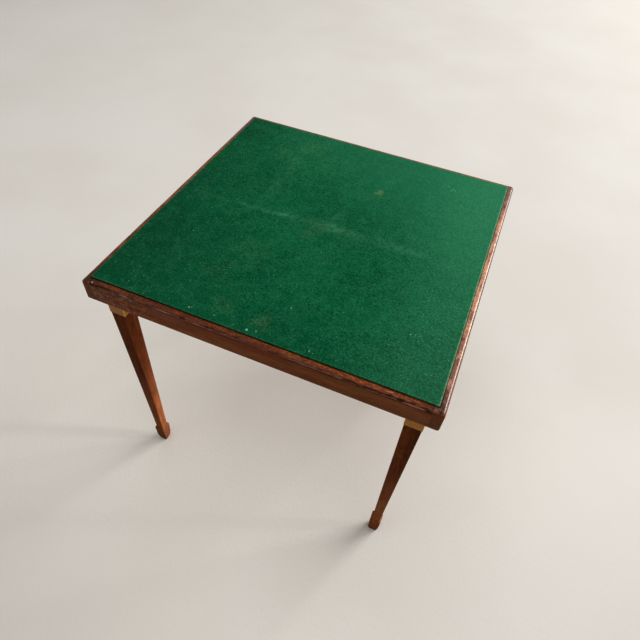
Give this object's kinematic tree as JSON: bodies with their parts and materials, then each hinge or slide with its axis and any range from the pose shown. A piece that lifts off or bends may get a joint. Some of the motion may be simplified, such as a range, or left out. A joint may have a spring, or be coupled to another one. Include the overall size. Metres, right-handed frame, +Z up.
{
  "type": "folding games table",
  "caption": "Square folding games table with a green cloth top let into a wooden frame, and tapered square legs with spade feet that fold up under the top.",
  "frame": {"origin": "on the floor, under the middle of the top", "axes": "+Z up; +X to the right along the front edge; +Y away from the viewer"},
  "size_m": [0.762, 0.762, 0.6862],
  "materials": {
    "mahogany": "old varnish, worn",
    "plain_wood": "bare, planed",
    "plywood": "bare, sanded",
    "baize": "wool felt",
    "brass": "dull, tarnished",
    "steel": "plain"
  },
  "bodies": {
    "table_top": {"front_rail": "mahogany", "back_rail": "mahogany", "left_rail": "mahogany", "right_rail": "mahogany", "top_board": "plywood", "baize": "baize", "cross_batten": "plain_wood", "glue_blocks": "plain_wood", "batten_screws": "steel", "bracket_screws": "brass", "pivot_washers": "steel", "corner_bracket_front_left": "brass", "pivot_pin_front_left": "steel", "corner_bracket_front_right": "brass", "pivot_pin_front_right": "steel", "corner_bracket_back_right": "brass", "pivot_pin_back_right": "steel", "corner_bracket_back_left": "brass", "pivot_pin_back_left": "steel"},
    "folding_leg_front_left": {"leg_front_left": "mahogany", "leg_cap_front_left": "brass", "cap_screws_front_left": "brass"},
    "folding_leg_front_right": {"leg_front_right": "mahogany", "leg_cap_front_right": "brass", "cap_screws_front_right": "brass"},
    "folding_leg_back_right": {"leg_back_right": "mahogany", "leg_cap_back_right": "brass", "cap_screws_back_right": "brass"},
    "folding_leg_back_left": {"leg_back_left": "mahogany", "leg_cap_back_left": "brass", "cap_screws_back_left": "brass"}
  },
  "joints": [
    {"name": "front_left_leg_fold", "type": "hinge", "parent": "table_top", "child": "folding_leg_front_left", "pos_m": [-0.33775, -0.33775, 0.65225], "axis": [0, -1, 0], "range_deg": [0, 90]},
    {"name": "front_right_leg_fold", "type": "hinge", "parent": "table_top", "child": "folding_leg_front_right", "pos_m": [0.33775, -0.33775, 0.65225], "axis": [1, 0, 0], "range_deg": [0, 90]},
    {"name": "back_right_leg_fold", "type": "hinge", "parent": "table_top", "child": "folding_leg_back_right", "pos_m": [0.33775, 0.33775, 0.65225], "axis": [0, 1, 0], "range_deg": [0, 90]},
    {"name": "back_left_leg_fold", "type": "hinge", "parent": "table_top", "child": "folding_leg_back_left", "pos_m": [-0.33775, 0.33775, 0.65225], "axis": [-1, 0, 0], "range_deg": [0, 90]}
  ]
}
